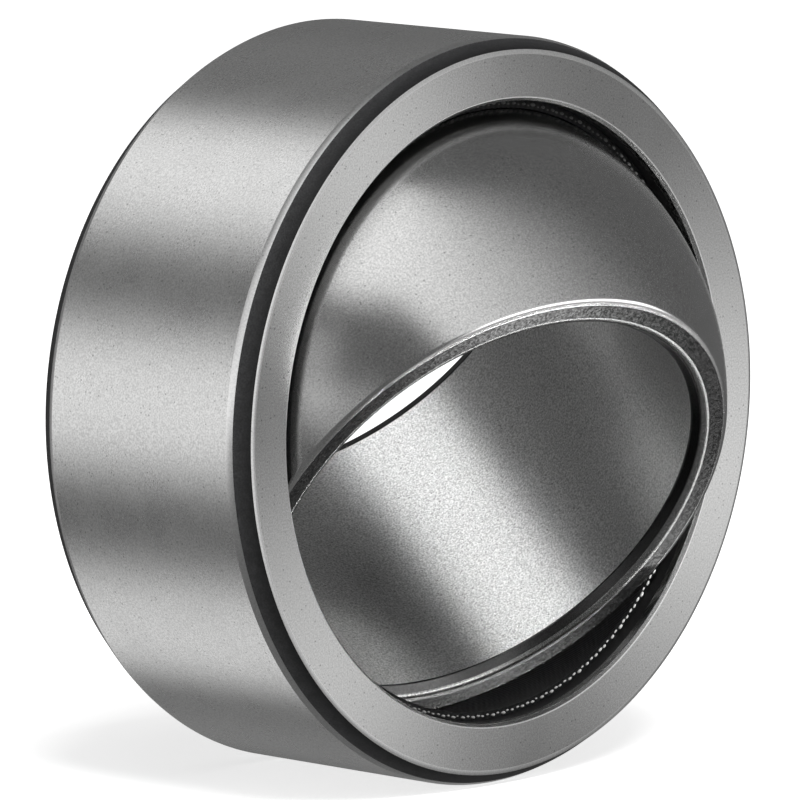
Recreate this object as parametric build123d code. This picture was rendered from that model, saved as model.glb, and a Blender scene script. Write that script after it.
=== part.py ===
from build123d import *
import math
import os

# Main sizes in millimetres: with the liner, the walls make a ball of 40.7 and an outside diameter of 47
bore_diameter = 30.0
inner_ring_wall = 5.35
outer_ring_wall = 2.6
inner_ring_width = 22.0
outer_ring_width = 18.0

# Edges of the outer ring
corner_chamfer_axial = 1.04
corner_chamfer_radial = 0.78
mouth_chamfer = 0.22

# Edges of the inner ring
bore_chamfer_axial = 0.8
bore_chamfer_radial = 0.5
rim_round = 0.5

# Fabric liner, bonded to the outer ring's spherical seat
liner_thickness = 0.5
liner_setback = 1.5
ball_clearance = 0.05

# How the inner ring stands in the outer ring: its axis leans from the outer ring's axis by swivel_tilt,
# towards a line swivel_heading degrees round from straight down
swivel_tilt = 35.4
swivel_heading = 15.5

# Radii that follow, from the bore out to the outside, with each wall taken at mid width
bore_radius = bore_diameter / 2
ball_radius = bore_radius + inner_ring_wall
liner_inside_radius = ball_radius + ball_clearance
seat_radius = liner_inside_radius + liner_thickness
outside_radius = seat_radius + outer_ring_wall

# Half widths
inner_half_width = inner_ring_width / 2
outer_half_width = outer_ring_width / 2
liner_half_width = outer_half_width - liner_setback


def sphere_radius_at(sphere_radius, height):
    """The radius of the circle that a plane at this height cuts from a sphere about the origin."""
    return math.sqrt(sphere_radius**2 - height**2)


def turned(section):
    """The solid of revolution of a half section drawn with X as radius and Y as the ring's axis."""
    return revolve(section, axis=Axis.Y)


def outer_ring():
    """One-piece outer ring: cylinder outside, flat faces, and a spherical seat behind a short mouth."""
    mouth_radius = sphere_radius_at(seat_radius, liner_half_width)
    rear_half = [
        (mouth_radius, liner_half_width),
        (mouth_radius, outer_half_width - mouth_chamfer),
        (mouth_radius + mouth_chamfer, outer_half_width),
        (outside_radius - corner_chamfer_radial, outer_half_width),
        (outside_radius, outer_half_width - corner_chamfer_axial),
    ]
    front_half = [(radius, -height) for radius, height in reversed(rear_half)]
    with BuildSketch() as section:
        with BuildLine():
            Polyline(*rear_half, *front_half)
            ThreePointArc(front_half[-1], (seat_radius, 0), rear_half[0])
        make_face()
    return turned(section.sketch)


def fabric_liner():
    """Woven liner: a thin spherical shell between the ball and the seat, ending a little inside each mouth."""
    inner_edge = sphere_radius_at(liner_inside_radius, liner_half_width)
    outer_edge = sphere_radius_at(seat_radius, liner_half_width)
    with BuildSketch() as section:
        with BuildLine():
            Line((inner_edge, liner_half_width), (outer_edge, liner_half_width))
            ThreePointArc((outer_edge, liner_half_width), (seat_radius, 0), (outer_edge, -liner_half_width))
            Line((outer_edge, -liner_half_width), (inner_edge, -liner_half_width))
            ThreePointArc((inner_edge, -liner_half_width), (liner_inside_radius, 0), (inner_edge, liner_half_width))
        make_face()
    return turned(section.sketch)


def inner_ring():
    """Inner ring: a ball with flat faces and a chamfered bore, leaning as the ring was turned in its seat."""
    rim_radius = sphere_radius_at(ball_radius, inner_half_width)
    rear_half = [
        (rim_radius, inner_half_width),
        (bore_radius + bore_chamfer_radial, inner_half_width),
        (bore_radius, inner_half_width - bore_chamfer_axial),
    ]
    front_half = [(radius, -height) for radius, height in reversed(rear_half)]
    with BuildSketch() as section:
        with BuildLine():
            Polyline(*rear_half, *front_half)
            ThreePointArc(front_half[-1], (ball_radius, 0), rear_half[0])
        make_face()
        fillet(section.vertices().group_by(Axis.X)[-1], rim_round)
    swivel = Rot(0, swivel_heading, 0) * Rot(swivel_tilt, 0, 0)
    return swivel * turned(section.sketch)


os.makedirs("parts", exist_ok=True)
pieces = {"outer_ring": outer_ring(), "fabric_liner": fabric_liner(), "inner_ring": inner_ring()}
for name, piece in pieces.items():
    piece.label = name
    export_step(piece, f"parts/{name}.step")
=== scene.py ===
import math
import bpy
from mathutils import Matrix, Vector


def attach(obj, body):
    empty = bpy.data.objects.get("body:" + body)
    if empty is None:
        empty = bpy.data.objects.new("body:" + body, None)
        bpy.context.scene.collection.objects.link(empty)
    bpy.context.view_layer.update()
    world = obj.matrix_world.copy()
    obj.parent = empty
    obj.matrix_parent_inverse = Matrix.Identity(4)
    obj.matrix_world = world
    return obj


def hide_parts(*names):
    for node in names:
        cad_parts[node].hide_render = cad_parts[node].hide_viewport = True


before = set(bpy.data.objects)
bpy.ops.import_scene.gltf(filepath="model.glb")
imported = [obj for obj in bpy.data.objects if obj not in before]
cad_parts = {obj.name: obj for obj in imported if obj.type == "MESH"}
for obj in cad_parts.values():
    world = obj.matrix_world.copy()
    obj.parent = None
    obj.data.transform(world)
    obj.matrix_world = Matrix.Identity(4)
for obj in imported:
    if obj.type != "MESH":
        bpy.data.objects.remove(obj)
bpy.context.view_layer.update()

MM = 0.001

# Sizes of the two rings and the liner in millimetres, as in the part's source
bore_radius = 15.0
ball_radius = 20.35
seat_radius = 20.9
outside_radius = 23.5
inner_half_width = 11.0
outer_half_width = 9.0
liner_inside_radius = 20.4
liner_half_width = 7.5
corner_chamfer_axial = 1.04
corner_chamfer_radial = 0.78
mouth_chamfer = 0.22
bore_chamfer_axial = 0.8
bore_chamfer_radial = 0.5
rim_round = 0.5
swivel_tilt = math.radians(35.4)
swivel_heading = math.radians(15.5)
inner_lean = Matrix.Rotation(swivel_heading, 3, "Y") @ Matrix.Rotation(swivel_tilt, 3, "X")

# Where the mouth's wall and the liner's inside meet the plane of the liner's edge
mouth_radius = math.sqrt(seat_radius**2 - liner_half_width**2)
liner_edge_radius = math.sqrt(liner_inside_radius**2 - liner_half_width**2)

# Edges that only the render has: narrow ground lands beside the dark chamfers, which bend a little, and
# small rounds elsewhere
outside_land_width = 0.4
outside_land_start, outside_land_end = math.radians(20), math.radians(28)
face_land_width, face_land_turn = 0.3, math.radians(22)
mouth_edge_round = 0.12
bore_face_round = 0.6
bore_edge_round = 0.3

# How far the mouth's wall is steel before the dark skin starts. The steel is painted darker than steel, as
# shade in the mouth, and the dark skin beyond it also paints the shade deep in the mouth
mouth_bright_depth = 0.7

# The liner's outside stays this far off the seat in the render, so the two surfaces don't coincide
liner_gap = 0.01

# Yarn ends along the liner's two edges. Every second one stands proud of its neighbours
yarn_pair_count = 133
yarn_count = 2 * yarn_pair_count
yarn_radius = 0.15
yarn_proud_out, yarn_low_out = 0.03, -0.04
yarn_proud_inset, yarn_low_inset = 0.02, 0.05
yarn_low_size = 0.7
yarn_even_place = math.radians(30)
yarn_radial, yarn_across, yarn_along = 0.65, 1.3, 0.7
yarn_wander_round, yarn_wander_out, yarn_wander_size = 0.12, 0.02, 0.2
yarn_rings, yarn_sides = 4, 8

# Mesh steps: round each ring, and along the arcs of its section
TURN_STEPS = 360
BALL_STEPS, RIM_STEPS = 40, 8
SEAT_STEPS, LINER_STEPS = 12, 24
LAND_STEPS, ROUND_STEPS = 4, 5


def placed(name, data):
    """A new object in the scene."""
    piece = bpy.data.objects.new(name, data)
    bpy.context.scene.collection.objects.link(piece)
    return piece


def flat_sheet(name, half, height, material):
    """A square sheet that faces up, with its centre above the origin."""
    corners = [(-half, -half, height), (half, -half, height), (half, half, height), (-half, half, height)]
    mesh = bpy.data.meshes.new(name)
    mesh.from_pydata(corners, [], [(0, 1, 2, 3)])
    mesh.materials.append(material)
    return placed(name, mesh)


# Sections: a surface is a list of bands (material, start, end), and each end is (radius, along, normal)

def on_circle(centre, radius, angle, inward=False):
    """A section point on a circle, with its normal pointing away from the centre, or to it if inward."""
    direction = Vector((math.cos(angle), math.sin(angle)))
    point = Vector(centre) + direction * radius
    return point.x, point.y, (-direction if inward else direction)


def arc(material, centre, radius, start, end, steps, inward=False):
    """The bands of an arc from one angle to another."""
    angles = [start + (end - start) * step / steps for step in range(steps + 1)]
    points = [on_circle(centre, radius, angle, inward) for angle in angles]
    return [(material, first, second) for first, second in zip(points, points[1:])]


def rounded(material, before, corner, after, radius):
    """The bands of a small round on a section's outward corner."""
    before, corner, after = Vector(before), Vector(corner), Vector(after)
    back, ahead = (before - corner).normalized(), (after - corner).normalized()
    half_angle = back.angle(ahead) / 2
    centre = corner + (back + ahead).normalized() * radius / math.sin(half_angle)
    tangent = radius / math.tan(half_angle)
    first, last = corner + back * tangent - centre, corner + ahead * tangent - centre
    start = math.atan2(first.y, first.x)
    turn = math.atan2(first.x * last.y - first.y * last.x, first.dot(last))
    return arc(material, centre, radius, start, start + turn, ROUND_STEPS)


def at(point, normal):
    """A band of no length, for a straight one to start or end at."""
    place = (*point, Vector(normal))
    return [("", place, place)]


def straight(material, bands_before, bands_after):
    """The flat band between two others, with the first one's normal all along."""
    start = bands_before[-1][2]
    end = bands_after[0][1]
    return [(material, start, (end[0], end[1], start[2]))]


def mirrored(bands):
    """The same bands on the other half of the ring."""
    def flip(point):
        return point[0], -point[1], Vector((point[2].x, -point[2].y))
    return [(material, flip(end), flip(start)) for material, start, end in reversed(bands)]


def turned(name, bands, materials, lean=Matrix.Identity(3), closed=True):
    """Turns a section about Y, which lean then tips, into a mesh object whose normals are exact."""
    def spun(across, along, step):
        angle = 2 * math.pi * step / TURN_STEPS
        return lean @ Vector((across * math.cos(angle), along, across * math.sin(angle)))

    points = [start for _, start, _ in bands]
    if not closed:
        points.append(bands[-1][2])
    vertices = [spun(point[0], point[1], step) * MM for point in points for step in range(TURN_STEPS)]
    slots = list(materials)
    faces, face_materials, normals = [], [], []
    for index, (material, start, end) in enumerate(bands):
        following = (index + 1) % len(points)
        for step in range(TURN_STEPS):
            beside = (step + 1) % TURN_STEPS
            faces.append((
                index * TURN_STEPS + step,
                following * TURN_STEPS + step,
                following * TURN_STEPS + beside,
                index * TURN_STEPS + beside,
            ))
            face_materials.append(slots.index(material))
            for point, place in ((start, step), (end, step), (end, beside), (start, beside)):
                normals.append(spun(point[2].x, point[2].y, place))
    mesh = bpy.data.meshes.new(name)
    mesh.from_pydata(vertices, [], faces)
    for material in materials.values():
        mesh.materials.append(material)
    mesh.polygons.foreach_set("material_index", face_materials)
    mesh.shade_smooth()
    mesh.normals_split_custom_set(normals)
    return placed(name, mesh)


# Node helpers

class Nodes:
    """A node tree with short calls for the nodes that the materials share."""

    def __init__(self, tree):
        self.tree = tree
        tree.nodes.clear()

    def add(self, kind, **settings):
        node = self.tree.nodes.new(kind)
        for key, value in settings.items():
            setattr(node, key, value)
        return node

    def link(self, source, target):
        self.tree.links.new(source, target)

    def put(self, socket, value):
        if isinstance(value, bpy.types.NodeSocket):
            self.link(value, socket)
        else:
            socket.default_value = value

    def math(self, operation, first, second=0.0):
        node = self.add("ShaderNodeMath", operation=operation)
        for socket, value in zip(node.inputs, (first, second)):
            self.put(socket, value)
        return node.outputs[0]

    def product(self, first, *others):
        for other in others:
            first = self.math("MULTIPLY", first, other)
        return first

    def dot(self, vector, direction):
        node = self.add("ShaderNodeVectorMath", operation="DOT_PRODUCT")
        self.link(vector, node.inputs[0])
        node.inputs[1].default_value = direction
        return node.outputs["Value"]

    def ramp(self, value, low, high, to_low=0.0, to_high=1.0, kind="SMOOTHSTEP"):
        node = self.add("ShaderNodeMapRange", interpolation_type=kind)
        self.put(node.inputs["Value"], value)
        node.inputs["From Min"].default_value = low
        node.inputs["From Max"].default_value = high
        node.inputs["To Min"].default_value = to_low
        node.inputs["To Max"].default_value = to_high
        return node.outputs["Result"]

    def linear(self, value, low, high, to_low, to_high):
        return self.ramp(value, low, high, to_low, to_high, kind="LINEAR")

    def noise(self, vector, scale, detail):
        node = self.add("ShaderNodeTexNoise")
        self.link(vector, node.inputs["Vector"])
        node.inputs["Scale"].default_value = scale
        node.inputs["Detail"].default_value = detail
        return node.outputs["Fac"]

    def specks(self, vector, size, share):
        """1 in small round specks scattered over the surface, and 0 elsewhere."""
        node = self.add("ShaderNodeTexVoronoi")
        self.link(vector, node.inputs["Vector"])
        node.inputs["Scale"].default_value = SPECK_SCALE
        inside = self.ramp(node.outputs["Distance"], size, size * SPECK_CORE)
        split = self.add("ShaderNodeSeparateColor")
        self.link(node.outputs["Color"], split.inputs[0])
        chosen = self.math("LESS_THAN", split.outputs[0], share)
        return self.product(inside, chosen)

    def tint(self, shader, colour, shade):
        """Gives the shader this colour times a shade that varies over the surface."""
        scaled = self.add("ShaderNodeVectorMath", operation="SCALE")
        scaled.inputs[0].default_value = colour
        self.link(shade, scaled.inputs["Scale"])
        self.link(scaled.outputs[0], shader.inputs["Base Color"])

    def emboss(self, shader, height, strength, distance):
        """Gives the shader a fine relief."""
        bump = self.add("ShaderNodeBump")
        bump.inputs["Strength"].default_value = strength
        bump.inputs["Distance"].default_value = distance
        self.link(height, bump.inputs["Height"])
        self.link(bump.outputs[0], shader.inputs["Normal"])


def empty_material(name):
    material = bpy.data.materials.new(name)
    material.use_nodes = True
    return material, Nodes(material.node_tree)


def surface(name):
    """A new material with a Principled shader."""
    material, nodes = empty_material(name)
    output = nodes.add("ShaderNodeOutputMaterial")
    shader = nodes.add("ShaderNodeBsdfPrincipled")
    nodes.link(shader.outputs[0], output.inputs["Surface"])
    return material, nodes, shader


def ring_coordinates(nodes, lean=None):
    """Object coordinates with the ring's axis along Y, in metres: (vector, x, along, z)."""
    place = nodes.add("ShaderNodeTexCoord").outputs["Object"]
    if lean is not None:
        upright = nodes.add("ShaderNodeMapping", vector_type="POINT")
        nodes.link(place, upright.inputs["Vector"])
        upright.inputs["Rotation"].default_value = lean.inverted().to_euler("XYZ")
        place = upright.outputs[0]
    split = nodes.add("ShaderNodeSeparateXYZ")
    nodes.link(place, split.inputs[0])
    return place, *split.outputs


def from_axis(nodes, x, z):
    """The distance from the ring's axis."""
    return nodes.math("SQRT", nodes.math("ADD", nodes.product(x, x), nodes.product(z, z)))


# Metal: scales are for object coordinates in metres. Specks have a size in Voronoi cells, of which the core
# is the part at full strength. Light specks are painted glints
GRAIN_SCALE, CLOUD_SCALE, RELIEF_SCALE = 9000, 300, 5200
GROOVE_SCALE, GROOVE_STRETCH = 9000, 0.02
SPECK_SCALE, SPECK_CORE = 2600, 0.4
DARK_SPECK_SIZE, DARK_SPECK_DEPTH = 0.2, 0.45
GLINT_SPECK_SIZE, GLINT_SPECK_GAIN = 0.15, 0.6
GLINT_SPECK_SHIFT = (0.1, 0.1, 0.1)
RELIEF_SHARE, METAL_BUMP, METAL_RELIEF = 0.5, 0.1, 0.02 * MM


def metal(
    name, colour, roughness, grain, lean=None, grooves=0.0, grooved_face=False,
    dark_specks=0.5, glint_specks=0.0, grain_scale=GRAIN_SCALE,
):
    """Machined steel: fine grain, dark specks and painted glints, roughness that drifts, and grooves left by
    turning or grinding.
    """
    material, nodes, shader = surface(name)
    place, x, along, z = ring_coordinates(nodes, lean)

    fine = nodes.linear(nodes.noise(place, grain_scale, 0.0), 0.25, 0.75, 1 - grain, 1 + grain)
    cloud = nodes.noise(place, CLOUD_SCALE, 3.0)
    tone = nodes.linear(cloud, 0.3, 0.7, 0.98, 1.02)
    pits = nodes.product(nodes.specks(place, DARK_SPECK_SIZE, dark_specks), DARK_SPECK_DEPTH)
    shade = nodes.product(fine, tone, nodes.math("SUBTRACT", 1.0, pits))
    # Painted glints: light specks that brighten the steel's colour
    if glint_specks:
        moved = nodes.add("ShaderNodeVectorMath", operation="ADD")
        nodes.link(place, moved.inputs[0])
        moved.inputs[1].default_value = GLINT_SPECK_SHIFT
        glints = nodes.specks(moved.outputs[0], GLINT_SPECK_SIZE, glint_specks)
        shade = nodes.product(shade, nodes.math("ADD", 1.0, nodes.product(glints, GLINT_SPECK_GAIN)))
    nodes.tint(shader, colour, shade)

    shader.inputs["Metallic"].default_value = 1.0
    drift = nodes.linear(cloud, 0.25, 0.75, roughness * 0.92, roughness * 1.08)
    nodes.link(drift, shader.inputs["Roughness"])

    height = nodes.product(nodes.noise(place, RELIEF_SCALE, 2.0), RELIEF_SHARE)
    if grooves:
        lines = nodes.add("ShaderNodeCombineXYZ")
        nodes.link(nodes.product(x, GROOVE_STRETCH), lines.inputs[0])
        nodes.link(from_axis(nodes, x, z) if grooved_face else along, lines.inputs[1])
        nodes.link(nodes.product(z, GROOVE_STRETCH), lines.inputs[2])
        groove = nodes.noise(lines.outputs[0], GROOVE_SCALE, 2.0)
        height = nodes.math("ADD", height, nodes.product(groove, grooves))
    nodes.emboss(shader, height, METAL_BUMP, METAL_RELIEF)
    return material


# The dark skin is painted in light and shade by its distance from the axis: painted shade in the mouth and
# seat, and painted light that grows from the face's edge out to the outside
PAINTED_LIGHT_FROM, PAINTED_LIGHT_TO = 22.7 * MM, 23.5 * MM
PAINTED_SHADE_INSIDE, PAINTED_HIGHLIGHT_OUTSIDE = 0.5, 2.3


def scale(name, colour):
    """The dark skin that hardening leaves where nothing was ground: matte, with a fine mottle, and with
    painted shade and light by its distance from the axis.
    """
    material, nodes, shader = surface(name)
    place, x, _, z = ring_coordinates(nodes)
    mottle = nodes.linear(nodes.noise(place, 2500, 3.0), 0.25, 0.75, 0.75, 1.25)
    fine = nodes.linear(nodes.noise(place, GRAIN_SCALE, 0.0), 0.25, 0.75, 0.75, 1.25)
    uneven = nodes.product(mottle, fine)
    # Painted shade inside and painted light towards the outside, by distance from the axis
    painted_light = nodes.linear(from_axis(nodes, x, z), PAINTED_LIGHT_FROM, PAINTED_LIGHT_TO, PAINTED_SHADE_INSIDE, PAINTED_HIGHLIGHT_OUTSIDE)
    nodes.tint(shader, colour, nodes.product(uneven, painted_light))
    nodes.link(nodes.linear(mottle, 0.75, 1.25, 0.5, 0.6), shader.inputs["Roughness"])
    shader.inputs["Specular IOR Level"].default_value = 0.3
    nodes.emboss(shader, uneven, 0.2, METAL_RELIEF)
    return material


ground = metal("ground_outside", (0.64, 0.64, 0.635), roughness=0.28, grain=0.16, grooves=0.6)
ground_face = metal(
    "ground_face", (0.62, 0.62, 0.615), roughness=0.18, grain=0.12, grooves=0.4, grooved_face=True,
)
# Steel painted brighter than the ground steel beside it: painted highlights along the edge lands and rounds
edge_painted_highlight = metal("edge_painted_highlight", (0.85, 0.85, 0.845), roughness=0.3, grain=0.08, dark_specks=0.1)
scale_dark = scale("hardening_scale", (0.016, 0.016, 0.0165))
# The mouth's front wall is steel painted darker than steel: painted shade in the mouth
mouth_painted_shade = metal("mouth_painted_shade", (0.3, 0.3, 0.298), roughness=0.25, grain=0.2)
ball_polish = metal(
    "ball_polish", (0.7, 0.7, 0.695), roughness=0.2, grain=0.14, lean=inner_lean, grooves=0.2,
)
rim_polish = metal(
    "rim_polish", (0.75, 0.75, 0.745), roughness=0.16, grain=0.08, lean=inner_lean, dark_specks=0.1,
)
bore_polish = metal(
    "bore_polish", (0.63, 0.63, 0.625), roughness=0.32, grain=0.3, lean=inner_lean, grooves=0.4,
    dark_specks=0.7, glint_specks=0.4,
)
# The inner ring's front face is steel painted far darker than steel: painted shade on the face
inner_face = metal(
    "inner_face", (0.08, 0.08, 0.0795), roughness=0.25, grain=0.65, lean=inner_lean, grooves=0.3,
    grooved_face=True, glint_specks=0.8, grain_scale=7500,
)
inner_edge = metal("inner_edge", (0.45, 0.45, 0.445), roughness=0.25, grain=0.25, lean=inner_lean)
# The bore's chamfers are steel painted darker than steel: painted shade on the chamfers
inner_chamfer_painted_shade = metal("inner_chamfer_painted_shade", (0.1, 0.1, 0.0995), roughness=0.25, grain=0.2, lean=inner_lean)


def fabric(name, colour):
    """Black woven fabric set in resin: two yarn directions crossing over and under."""
    material, nodes, shader = surface(name)
    place, x, along, z = ring_coordinates(nodes)
    pitch = 2 * math.pi * liner_inside_radius * MM / yarn_count
    round_wave = nodes.math("SINE", nodes.product(nodes.math("ARCTAN2", z, x), yarn_count))
    along_wave = nodes.math("SINE", nodes.product(along, 2 * math.pi / pitch))
    weave = nodes.product(round_wave, along_wave)
    fibre = nodes.noise(place, 6000, 3.0)
    nodes.tint(shader, colour, nodes.linear(nodes.math("ADD", weave, fibre), -1.0, 2.0, 0.5, 1.6))
    nodes.link(nodes.linear(fibre, 0.2, 0.8, 0.5, 0.7), shader.inputs["Roughness"])
    nodes.emboss(shader, nodes.math("ADD", weave, nodes.product(fibre, 0.4)), 0.5, 0.06 * MM)
    return material


def yarn(name, colour):
    """Cut ends of pale slippery yarn, with their strands showing."""
    material, nodes, shader = surface(name)
    place = nodes.add("ShaderNodeTexCoord").outputs["Object"]
    nodes.tint(shader, colour, nodes.linear(nodes.noise(place, 9000, 2.0), 0.3, 0.7, 0.85, 1.08))
    gloss = nodes.linear(nodes.noise(place, 4000, 1.0), 0.3, 0.7, 0.3, 0.45)
    nodes.link(gloss, shader.inputs["Roughness"])
    return material


liner_black = fabric("liner_weave", (0.008, 0.008, 0.0085))
# The yarn ends are painted far darker than the pale yarn, as painted shade; a lamp kept to them lights those
# at the lower right
yarn_painted_shade = yarn("yarn_painted_shade", (0.1, 0.1, 0.098))


# Outer ring

def outer_ring():
    outside_corner = (outside_radius, outer_half_width - corner_chamfer_axial)
    face_corner = (outside_radius - corner_chamfer_radial, outer_half_width)
    mouth_face = (mouth_radius + mouth_chamfer, outer_half_width)
    mouth_wall = (mouth_radius, outer_half_width - mouth_chamfer)
    mouth_end = (mouth_radius, liner_half_width)

    outside_bend = outside_land_width / (math.sin(outside_land_end) - math.sin(outside_land_start))
    outside_centre = (
        outside_radius - outside_bend * math.cos(outside_land_start),
        outside_corner[1] - outside_bend * math.sin(outside_land_end),
    )
    outside_edge = arc(
        "edge", outside_centre, outside_bend, outside_land_start, outside_land_end, LAND_STEPS,
    )
    face_bend = face_land_width / math.sin(face_land_turn)
    face_centre = (face_corner[0] - face_land_width, outer_half_width - face_bend)
    face_edge = arc(
        "edge", face_centre, face_bend, math.pi / 2 - face_land_turn, math.pi / 2, LAND_STEPS,
    )
    first, last = outside_edge[-1][2], face_edge[0][1]
    slope = Vector((last[1] - first[1], first[0] - last[0])).normalized()
    chamfer = [("dark", (first[0], first[1], slope), (last[0], last[1], slope))]

    mouth_edge = rounded("edge", face_corner, mouth_face, mouth_wall, mouth_edge_round)
    wall_edge = rounded("mouth", mouth_face, mouth_wall, mouth_end, mouth_edge_round)
    start = at((outside_radius, 0.0), (1, 0))
    # Deeper than this the wall takes the dark skin, which also paints the shade deep in the mouth
    deep = at((mouth_radius, outer_half_width - mouth_bright_depth), (-1, 0))
    stop = at(mouth_end, (-1, 0))
    seat_angle = math.asin(liner_half_width / seat_radius)
    seat = arc("dark", (0, 0), seat_radius, seat_angle, 0, SEAT_STEPS, inward=True)
    half = (
        straight("outside", start, outside_edge) + outside_edge
        + chamfer + face_edge
        + straight("face", face_edge, mouth_edge) + mouth_edge
        + straight("mouth", mouth_edge, wall_edge) + wall_edge
        + straight("mouth", wall_edge, deep) + straight("dark", deep, stop) + seat
    )
    materials = {
        "outside": ground, "edge": edge_painted_highlight, "dark": scale_dark, "face": ground_face, "mouth": mouth_painted_shade,
    }
    return turned("outer_ring_finished", half + mirrored(half), materials)


# Inner ring

def inner_ring():
    """The ball with its rims and faces, and the bore with its chamfers, as two pieces that meet."""
    bore_low = (bore_radius, 0.0)
    bore_corner = (bore_radius, inner_half_width - bore_chamfer_axial)
    face_corner = (bore_radius + bore_chamfer_radial, inner_half_width)
    rim_along = inner_half_width - rim_round
    rim_centre = (math.sqrt((ball_radius - rim_round)**2 - rim_along**2), rim_along)
    rim_angle = math.atan2(rim_centre[1], rim_centre[0])
    ball = arc("ball", (0, 0), ball_radius, 0, rim_angle, BALL_STEPS)
    rim = arc("rim", rim_centre, rim_round, rim_angle, math.pi / 2, RIM_STEPS)
    face_start = (rim_centre[0], inner_half_width)
    face_edge = rounded("edge", face_start, face_corner, bore_corner, bore_face_round)
    bore_edge = rounded("chamfer", face_corner, bore_corner, bore_low, bore_edge_round)
    stop = at(bore_low, (-1, 0))
    outside = ball + rim + straight("face", rim, face_edge) + face_edge
    inside = straight("chamfer", face_edge, bore_edge) + bore_edge + straight("bore", bore_edge, stop)
    ball_materials = {"ball": ball_polish, "rim": rim_polish, "face": inner_face, "edge": inner_edge}
    bore_materials = {"chamfer": inner_chamfer_painted_shade, "bore": bore_polish}
    return (
        turned("inner_ring_ball", mirrored(outside) + outside, ball_materials, inner_lean, closed=False),
        turned("inner_ring_bore", inside + mirrored(inside), bore_materials, inner_lean, closed=False),
    )


# Liner

def liner():
    inner_angle = math.asin(liner_half_width / liner_inside_radius)
    outer_angle = math.asin(liner_half_width / seat_radius)
    outside = arc("weave", (0, 0), seat_radius - liner_gap, 0, outer_angle, SEAT_STEPS)
    inside = arc("weave", (0, 0), liner_inside_radius, inner_angle, 0, LINER_STEPS, inward=True)
    edge_start = at((outside[-1][2][0], liner_half_width), (0, 1))
    edge_end = at((inside[0][1][0], liner_half_width), (0, 1))
    half = outside + straight("weave", edge_start, edge_end) + inside
    return turned("liner_shell", half + mirrored(half), {"weave": liner_black})


def yarn_end(index, side):
    """The centre of one yarn end and its half axes: radial, across and along."""
    proud = index % 2 == 0
    wander = math.sin(index * 2.4) * 0.5 + math.sin(index * 5.1 + 1) * 0.5
    angle = 2 * math.pi * (index + yarn_wander_round * wander) / yarn_count
    middle = (liner_edge_radius + mouth_radius) / 2
    out = middle + (yarn_proud_out if proud else yarn_low_out) + yarn_wander_out * wander
    height = liner_half_width - (yarn_proud_inset if proud else yarn_low_inset)
    centre = Vector((out * math.cos(angle), side * height, out * math.sin(angle)))
    evenness = (0.5 + 0.5 * math.cos(angle + yarn_even_place))**2
    relative = 1 if proud else yarn_low_size + (1 - yarn_low_size) * evenness
    size = yarn_radius * relative * (1 + yarn_wander_size * wander)
    radial = Vector((math.cos(angle), 0, math.sin(angle))) * size * yarn_radial
    across = Vector((-math.sin(angle), 0, math.cos(angle))) * size * yarn_across
    along = Vector((0, side, 0)) * size * yarn_along
    return centre, radial, across, along


def yarn_ends():
    """The cut ends of the yarns along both edges of the liner, each the outer half of an ellipsoid."""
    vertices, faces = [], []
    for side in (1, -1):
        for index in range(yarn_count):
            centre, radial, across, along = yarn_end(index, side)
            base = len(vertices)
            for ring in range(yarn_rings + 1):
                tip = math.pi / 2 * ring / yarn_rings
                for place in range(yarn_sides):
                    turn = 2 * math.pi * place / yarn_sides
                    outward = radial * math.cos(turn) + across * math.sin(turn)
                    offset = outward * math.sin(tip) + along * math.cos(tip)
                    vertices.append((centre + offset) * MM)
            for ring in range(yarn_rings):
                for place in range(yarn_sides):
                    beside = (place + 1) % yarn_sides
                    quad = [
                        base + ring * yarn_sides + place,
                        base + (ring + 1) * yarn_sides + place,
                        base + (ring + 1) * yarn_sides + beside,
                        base + ring * yarn_sides + beside,
                    ]
                    faces.append(quad if side < 0 else quad[::-1])
    mesh = bpy.data.meshes.new("yarn_ends")
    mesh.from_pydata(vertices, [], faces)
    mesh.materials.append(yarn_painted_shade)
    mesh.shade_smooth()
    return placed("yarn_ends", mesh)


outer = outer_ring()
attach(outer, "outer")
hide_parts("outer_ring")

inner, bore = inner_ring()
for piece in (inner, bore):
    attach(piece, "inner")
    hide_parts("inner_ring")

shell = liner()
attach(shell, "outer")
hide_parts("fabric_liner")

ends = yarn_ends()
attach(ends, "outer")


# Floor. It keeps the shadow, and metal doesn't see it

FLOOR_HALF = 4.0
FLOOR_COLOUR = (0.9, 0.9, 0.9, 1)
FLOOR_GLOW = 0.7


def seen_directly(nodes):
    """1 for what the camera sees, also through clear materials, and 0 for light and for reflections."""
    path = nodes.add("ShaderNodeLightPath")
    return nodes.math("MAXIMUM", path.outputs["Is Camera Ray"], path.outputs["Is Transmission Ray"])


def floor():
    material, nodes = empty_material("pale_floor")
    output = nodes.add("ShaderNodeOutputMaterial")
    matte = nodes.add("ShaderNodeBsdfDiffuse")
    matte.inputs["Color"].default_value = FLOOR_COLOUR
    glow = nodes.add("ShaderNodeEmission")
    nodes.link(nodes.product(seen_directly(nodes), FLOOR_GLOW), glow.inputs["Strength"])
    both = nodes.add("ShaderNodeAddShader")
    nodes.link(matte.outputs[0], both.inputs[0])
    nodes.link(glow.outputs[0], both.inputs[1])
    nodes.link(both.outputs[0], output.inputs["Surface"])
    plane = flat_sheet("floor", FLOOR_HALF, -outside_radius * MM, material)
    plane.visible_glossy = False


floor()


# Studio. Directions are in degrees: azimuth from +Y towards -X, and elevation above the horizon.
# Metal sees the panels and the softbox, and not the white background

AMBIENT = 0.15

# Soft panels, each (azimuth, elevation, half width, half height, softness, strength)
SHARED_PANELS = {
    "low_rear": (8, -16, 12, 8, 6, 0.2),
    "small_front": (112, 3, 14, 9, 7, 0.35),
}

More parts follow.
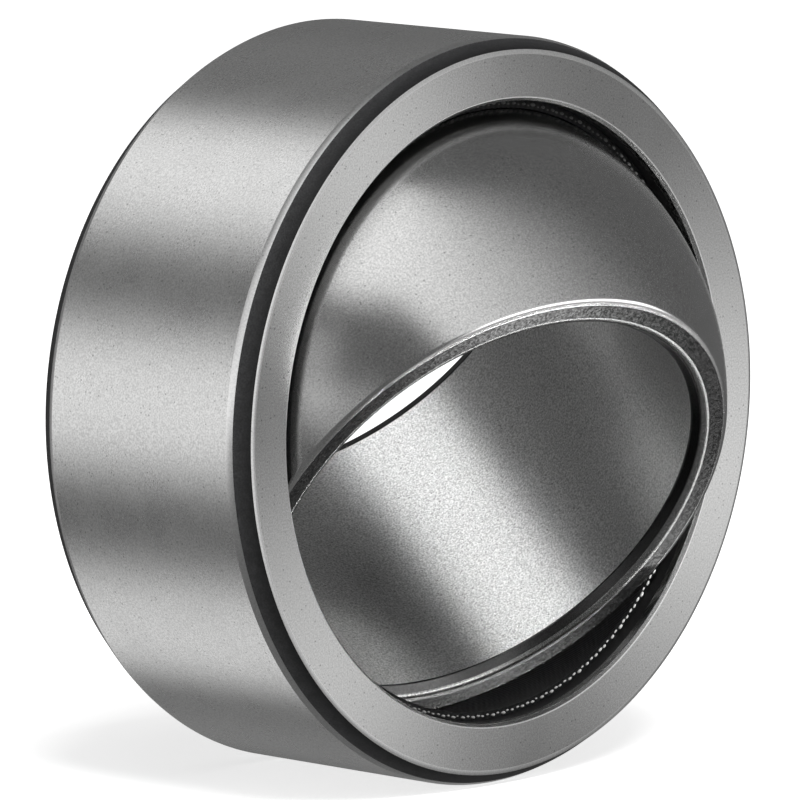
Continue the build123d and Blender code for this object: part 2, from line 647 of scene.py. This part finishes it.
# Panels that are set for the outer ring alone
OUTER_PANELS = {
    "high_left": (18, 44, 23, 10.3, 8, 1.2),
    "level_left": (52, 0, 38, 14.5, 8, 0.97),
    "low_left": (14, -44, 20, 11, 8, 0.89),
    "low_behind": (-45, -35, 25, 12, 10, 0.15),
    "behind": (-42, 18, 26, 20, 14, 0.05),
    "low_front": (180, -6, 24, 16, 6, 0.6),
    "edge_glow": (100, 20, 14, 22, 5, 0.7),
    "high_behind": (-28, 40, 18, 13, 8, 0.08),
}

# Panels that are set for the inner ring alone
INNER_PANELS = {
    "rim_glow": (-156, 3, 32, 10, 6, 2.3),
    "rim_glow_below": (-150, -27, 36, 18, 8, 0.35),
    "left_front": (86, 17, 22, 14, 7, 0.3),
}

# Panels that are set for the bore and its chamfers alone
BORE_PANELS = {
    "chamfer_glow": (207, 30, 22, 10, 7, 1.3),
}

# The large softbox over the front. Its light starts at its left edge and fades from one azimuth to
# another. Its lower edge is level at the left and then slopes down to the middle
SOFTBOX_STRENGTH = 1.2
SOFTBOX_MIDDLE = 180
SOFTBOX_LEFT, SOFTBOX_LEFT_SOFTNESS = 96, 5
SOFTBOX_FADING, SOFTBOX_FADED = 110, 262
SOFTBOX_SLOPE_START = 125
SOFTBOX_LOW_LEFT, SOFTBOX_LOW_RIGHT = 43, 6
SOFTBOX_LOW_SOFTNESS = 8


def elevation_of(nodes, direction):
    split = nodes.add("ShaderNodeSeparateXYZ")
    nodes.link(direction, split.inputs[0])
    return nodes.product(nodes.math("ARCSINE", split.outputs[2]), math.degrees(1))


def azimuth_from(nodes, direction, centre):
    turn = math.radians(centre)
    ahead = nodes.dot(direction, (-math.sin(turn), math.cos(turn), 0))
    aside = nodes.dot(direction, (-math.cos(turn), -math.sin(turn), 0))
    return nodes.product(nodes.math("ARCTAN2", aside, ahead), math.degrees(1))


def panel_light(nodes, direction, elevation, panels):
    """The strength of the light that these panels send from each direction."""
    total = 0.0
    for azimuth, height, half_width, half_height, soft, strength in panels.values():
        off_azimuth = nodes.math("ABSOLUTE", azimuth_from(nodes, direction, azimuth))
        off_height = nodes.math("ABSOLUTE", nodes.math("SUBTRACT", elevation, height))
        wide = nodes.ramp(off_azimuth, half_width + soft, half_width - soft)
        tall = nodes.ramp(off_height, half_height + soft, half_height - soft)
        total = nodes.math("ADD", total, nodes.product(wide, tall, strength))
    return total


def softbox_light(nodes, direction, elevation):
    across = azimuth_from(nodes, direction, SOFTBOX_MIDDLE)
    left_edge = SOFTBOX_LEFT - SOFTBOX_MIDDLE
    left = nodes.ramp(across, left_edge - SOFTBOX_LEFT_SOFTNESS, left_edge + SOFTBOX_LEFT_SOFTNESS)
    fade = nodes.ramp(across, SOFTBOX_FADING - SOFTBOX_MIDDLE, SOFTBOX_FADED - SOFTBOX_MIDDLE, 1, 0)
    lower_edge = nodes.ramp(
        across, SOFTBOX_SLOPE_START - SOFTBOX_MIDDLE, 0, SOFTBOX_LOW_LEFT, SOFTBOX_LOW_RIGHT,
    )
    over = nodes.math("SUBTRACT", elevation, lower_edge)
    above = nodes.ramp(over, -SOFTBOX_LOW_SOFTNESS, SOFTBOX_LOW_SOFTNESS)
    return nodes.product(left, fade, above, SOFTBOX_STRENGTH)


def studio():
    world = bpy.data.worlds.new("studio")
    bpy.context.scene.world = world
    world.use_nodes = True
    nodes = Nodes(world.node_tree)
    output = nodes.add("ShaderNodeOutputWorld")
    background = nodes.add("ShaderNodeBackground")
    nodes.link(background.outputs[0], output.inputs["Surface"])
    direction = nodes.add("ShaderNodeTexCoord").outputs["Generated"]
    elevation = elevation_of(nodes, direction)
    panels = nodes.math("ADD", panel_light(nodes, direction, elevation, SHARED_PANELS), AMBIENT)
    total = nodes.math("ADD", panels, softbox_light(nodes, direction, elevation))
    mix = nodes.add("ShaderNodeMix", data_type="FLOAT")
    nodes.link(seen_directly(nodes), mix.inputs["Factor"])
    nodes.link(total, mix.inputs["A"])
    mix.inputs["B"].default_value = 1.0
    nodes.link(mix.outputs[0], background.inputs["Strength"])
    world.cycles.sampling_method = "NONE"


studio()


def receivers(name, *pieces):
    """A collection of the pieces that a light is kept to."""
    collection = bpy.data.collections.new(name)
    for piece in pieces:
        collection.objects.link(piece)
    return collection


outer_only = receivers("outer_ring_only", outer)
inner_only = receivers("inner_ring_only", inner, bore)
bore_only = receivers("bore_only", bore)
ball_only = receivers("ball_and_faces_only", inner)
yarns_only = receivers("yarns_only", ends)


# Clear domes and cards that add light to the reflections of one ring

def finish_clear_light(nodes, strength):
    """Ends a material that only adds light and is otherwise clear."""
    output = nodes.add("ShaderNodeOutputMaterial")
    glow = nodes.add("ShaderNodeEmission")
    nodes.link(strength, glow.inputs["Strength"])
    clear = nodes.add("ShaderNodeBsdfTransparent")
    both = nodes.add("ShaderNodeAddShader")
    nodes.link(glow.outputs[0], both.inputs[0])
    nodes.link(clear.outputs[0], both.inputs[1])
    nodes.link(both.outputs[0], output.inputs["Surface"])


def keep_to_reflections(piece, receiving):
    piece.visible_camera = False
    piece.visible_diffuse = False
    piece.visible_shadow = False
    piece.visible_transmission = False
    piece.light_linking.receiver_collection = receiving


def ring_dome(name, radius, panels, receiving):
    """A clear dome that carries the panels set for one ring."""
    material, nodes = empty_material(name)
    place = nodes.add("ShaderNodeTexCoord").outputs["Object"]
    unit = nodes.add("ShaderNodeVectorMath", operation="NORMALIZE")
    nodes.link(place, unit.inputs[0])
    direction = unit.outputs[0]
    elevation = elevation_of(nodes, direction)
    finish_clear_light(nodes, panel_light(nodes, direction, elevation, panels))
    material.cycles.emission_sampling = "NONE"
    bpy.ops.mesh.primitive_uv_sphere_add(segments=96, ring_count=48, radius=radius)
    dome = bpy.context.object
    dome.name = name
    dome.data.materials.append(material)
    keep_to_reflections(dome, receiving)


# The radii in metres differ, because clear domes in one place spoil each other's light
ring_dome("outer_dome", 1.5, OUTER_PANELS, outer_only)
ring_dome("inner_dome", 1.6, INNER_PANELS, inner_only)
ring_dome("bore_dome", 1.7, BORE_PANELS, bore_only)

CARD_HALF = 55


def glow_card(name, centre, facing, spots, receiving, fill=0.0):
    """A clear sheet near a ring with soft bright spots, each (right, up, radius, strength) in mm."""
    material, nodes = empty_material(name)
    place = nodes.add("ShaderNodeTexCoord").outputs["Object"]
    total = fill
    for right, up, radius, strength in spots:
        offset = nodes.add("ShaderNodeVectorMath", operation="DISTANCE")
        nodes.link(place, offset.inputs[0])
        offset.inputs[1].default_value = (right * MM, up * MM, 0)
        spot = nodes.ramp(offset.outputs["Value"], radius * MM, 0, 0, strength)
        total = nodes.math("ADD", total, spot)
    finish_clear_light(nodes, total)
    material.cycles.emission_sampling = "NONE"
    card = flat_sheet(name, CARD_HALF * MM, 0, material)
    card.location = Vector(centre) * MM
    card.rotation_mode = "QUATERNION"
    card.rotation_quaternion = facing.to_quaternion()
    keep_to_reflections(card, receiving)


face_front = Matrix.Rotation(math.radians(90), 3, "X")
glow_card(
    "face_card", (31.3, -39, -6), face_front,
    [(22, -6, 27, 0.8), (-17, -16, 22, 0.65), (-14, 18, 20, 0.66)], outer_only, fill=0.11,
)
glow_card(
    "inner_face_card", (33.9, -27.9, -59.6), inner_lean @ face_front,
    [(17, -1, 10, 6.5), (-9, 15, 9, 12.0)], inner_only,
)


# Lamps

def towards(azimuth, elevation):
    turn, rise = math.radians(azimuth), math.radians(elevation)
    return Vector((
        -math.sin(turn) * math.cos(rise),
        math.cos(turn) * math.cos(rise),
        math.sin(rise),
    ))


def lamp(name, place, back, size, power, receiving=None, unshaded=False):
    """A round lamp at a place in metres, shining away from its back. Metal sees only unshaded ones."""
    light = bpy.data.lights.new(name, "AREA")
    light.shape = "DISK"
    light.size = size
    light.energy = power
    light.use_shadow = not unshaded
    light.cycles.use_multiple_importance_sampling = not unshaded
    piece = placed(name, light)
    piece.location = place
    piece.rotation_mode = "QUATERNION"
    piece.rotation_quaternion = back.to_track_quat("Z", "Y")
    piece.visible_glossy = unshaded
    piece.light_linking.receiver_collection = receiving


key_side = towards(150, 55)
lamp("key", key_side * 0.6, key_side, 0.3, 3.4)

# Close to the yarn ends at the lower right. The inner ring keeps its light off those at the top
lamp("yarn_lamp", Vector((20, -24, -6)) * MM, Vector((8, -16, 9)), 0.008, 0.035, yarns_only)

# Lamps that nothing shades, for the inner ring only: the bore, the lower part of the front face, and the
# lower part of the rim
bore_side, rim_side = towards(63, 63), towards(215, -40)
face_lamp_place = Vector((43.4, -20.5, -73)) * MM
face_lamp_back = inner_lean @ Vector((0, -1, 0))
lamp("bore_lamp", bore_side * 0.5, bore_side, 0.4, 0.55, bore_only, unshaded=True)
lamp("face_lamp", face_lamp_place, face_lamp_back, 0.012, 0.0016, ball_only, unshaded=True)
lamp("round_lamp", rim_side * 0.5, rim_side, 0.28, 0.14, ball_only, unshaded=True)


# Camera, at the photograph's place: its azimuth is from -Y towards +X

camera_azimuth = math.radians(-46.19)
camera_elevation = math.radians(7.83)
camera_distance = 0.6
framing_right = -0.24 * MM
framing_up = -0.03 * MM
lens = bpy.data.cameras.new("camera")
lens.lens = 429
lens.sensor_width = 36
lens.clip_start, lens.clip_end = 0.01, 20
camera = placed("camera", lens)
camera_side = Vector((
    math.sin(camera_azimuth) * math.cos(camera_elevation),
    -math.cos(camera_azimuth) * math.cos(camera_elevation),
    math.sin(camera_elevation),
))
camera_turn = (-camera_side).to_track_quat("-Z", "Y")
framing = camera_turn @ Vector((framing_right, framing_up, 0))
camera.rotation_mode = "QUATERNION"
camera.rotation_quaternion = camera_turn
camera.location = camera_side * camera_distance + framing
bpy.context.scene.camera = camera
bpy.context.scene.view_settings.view_transform = "Standard"
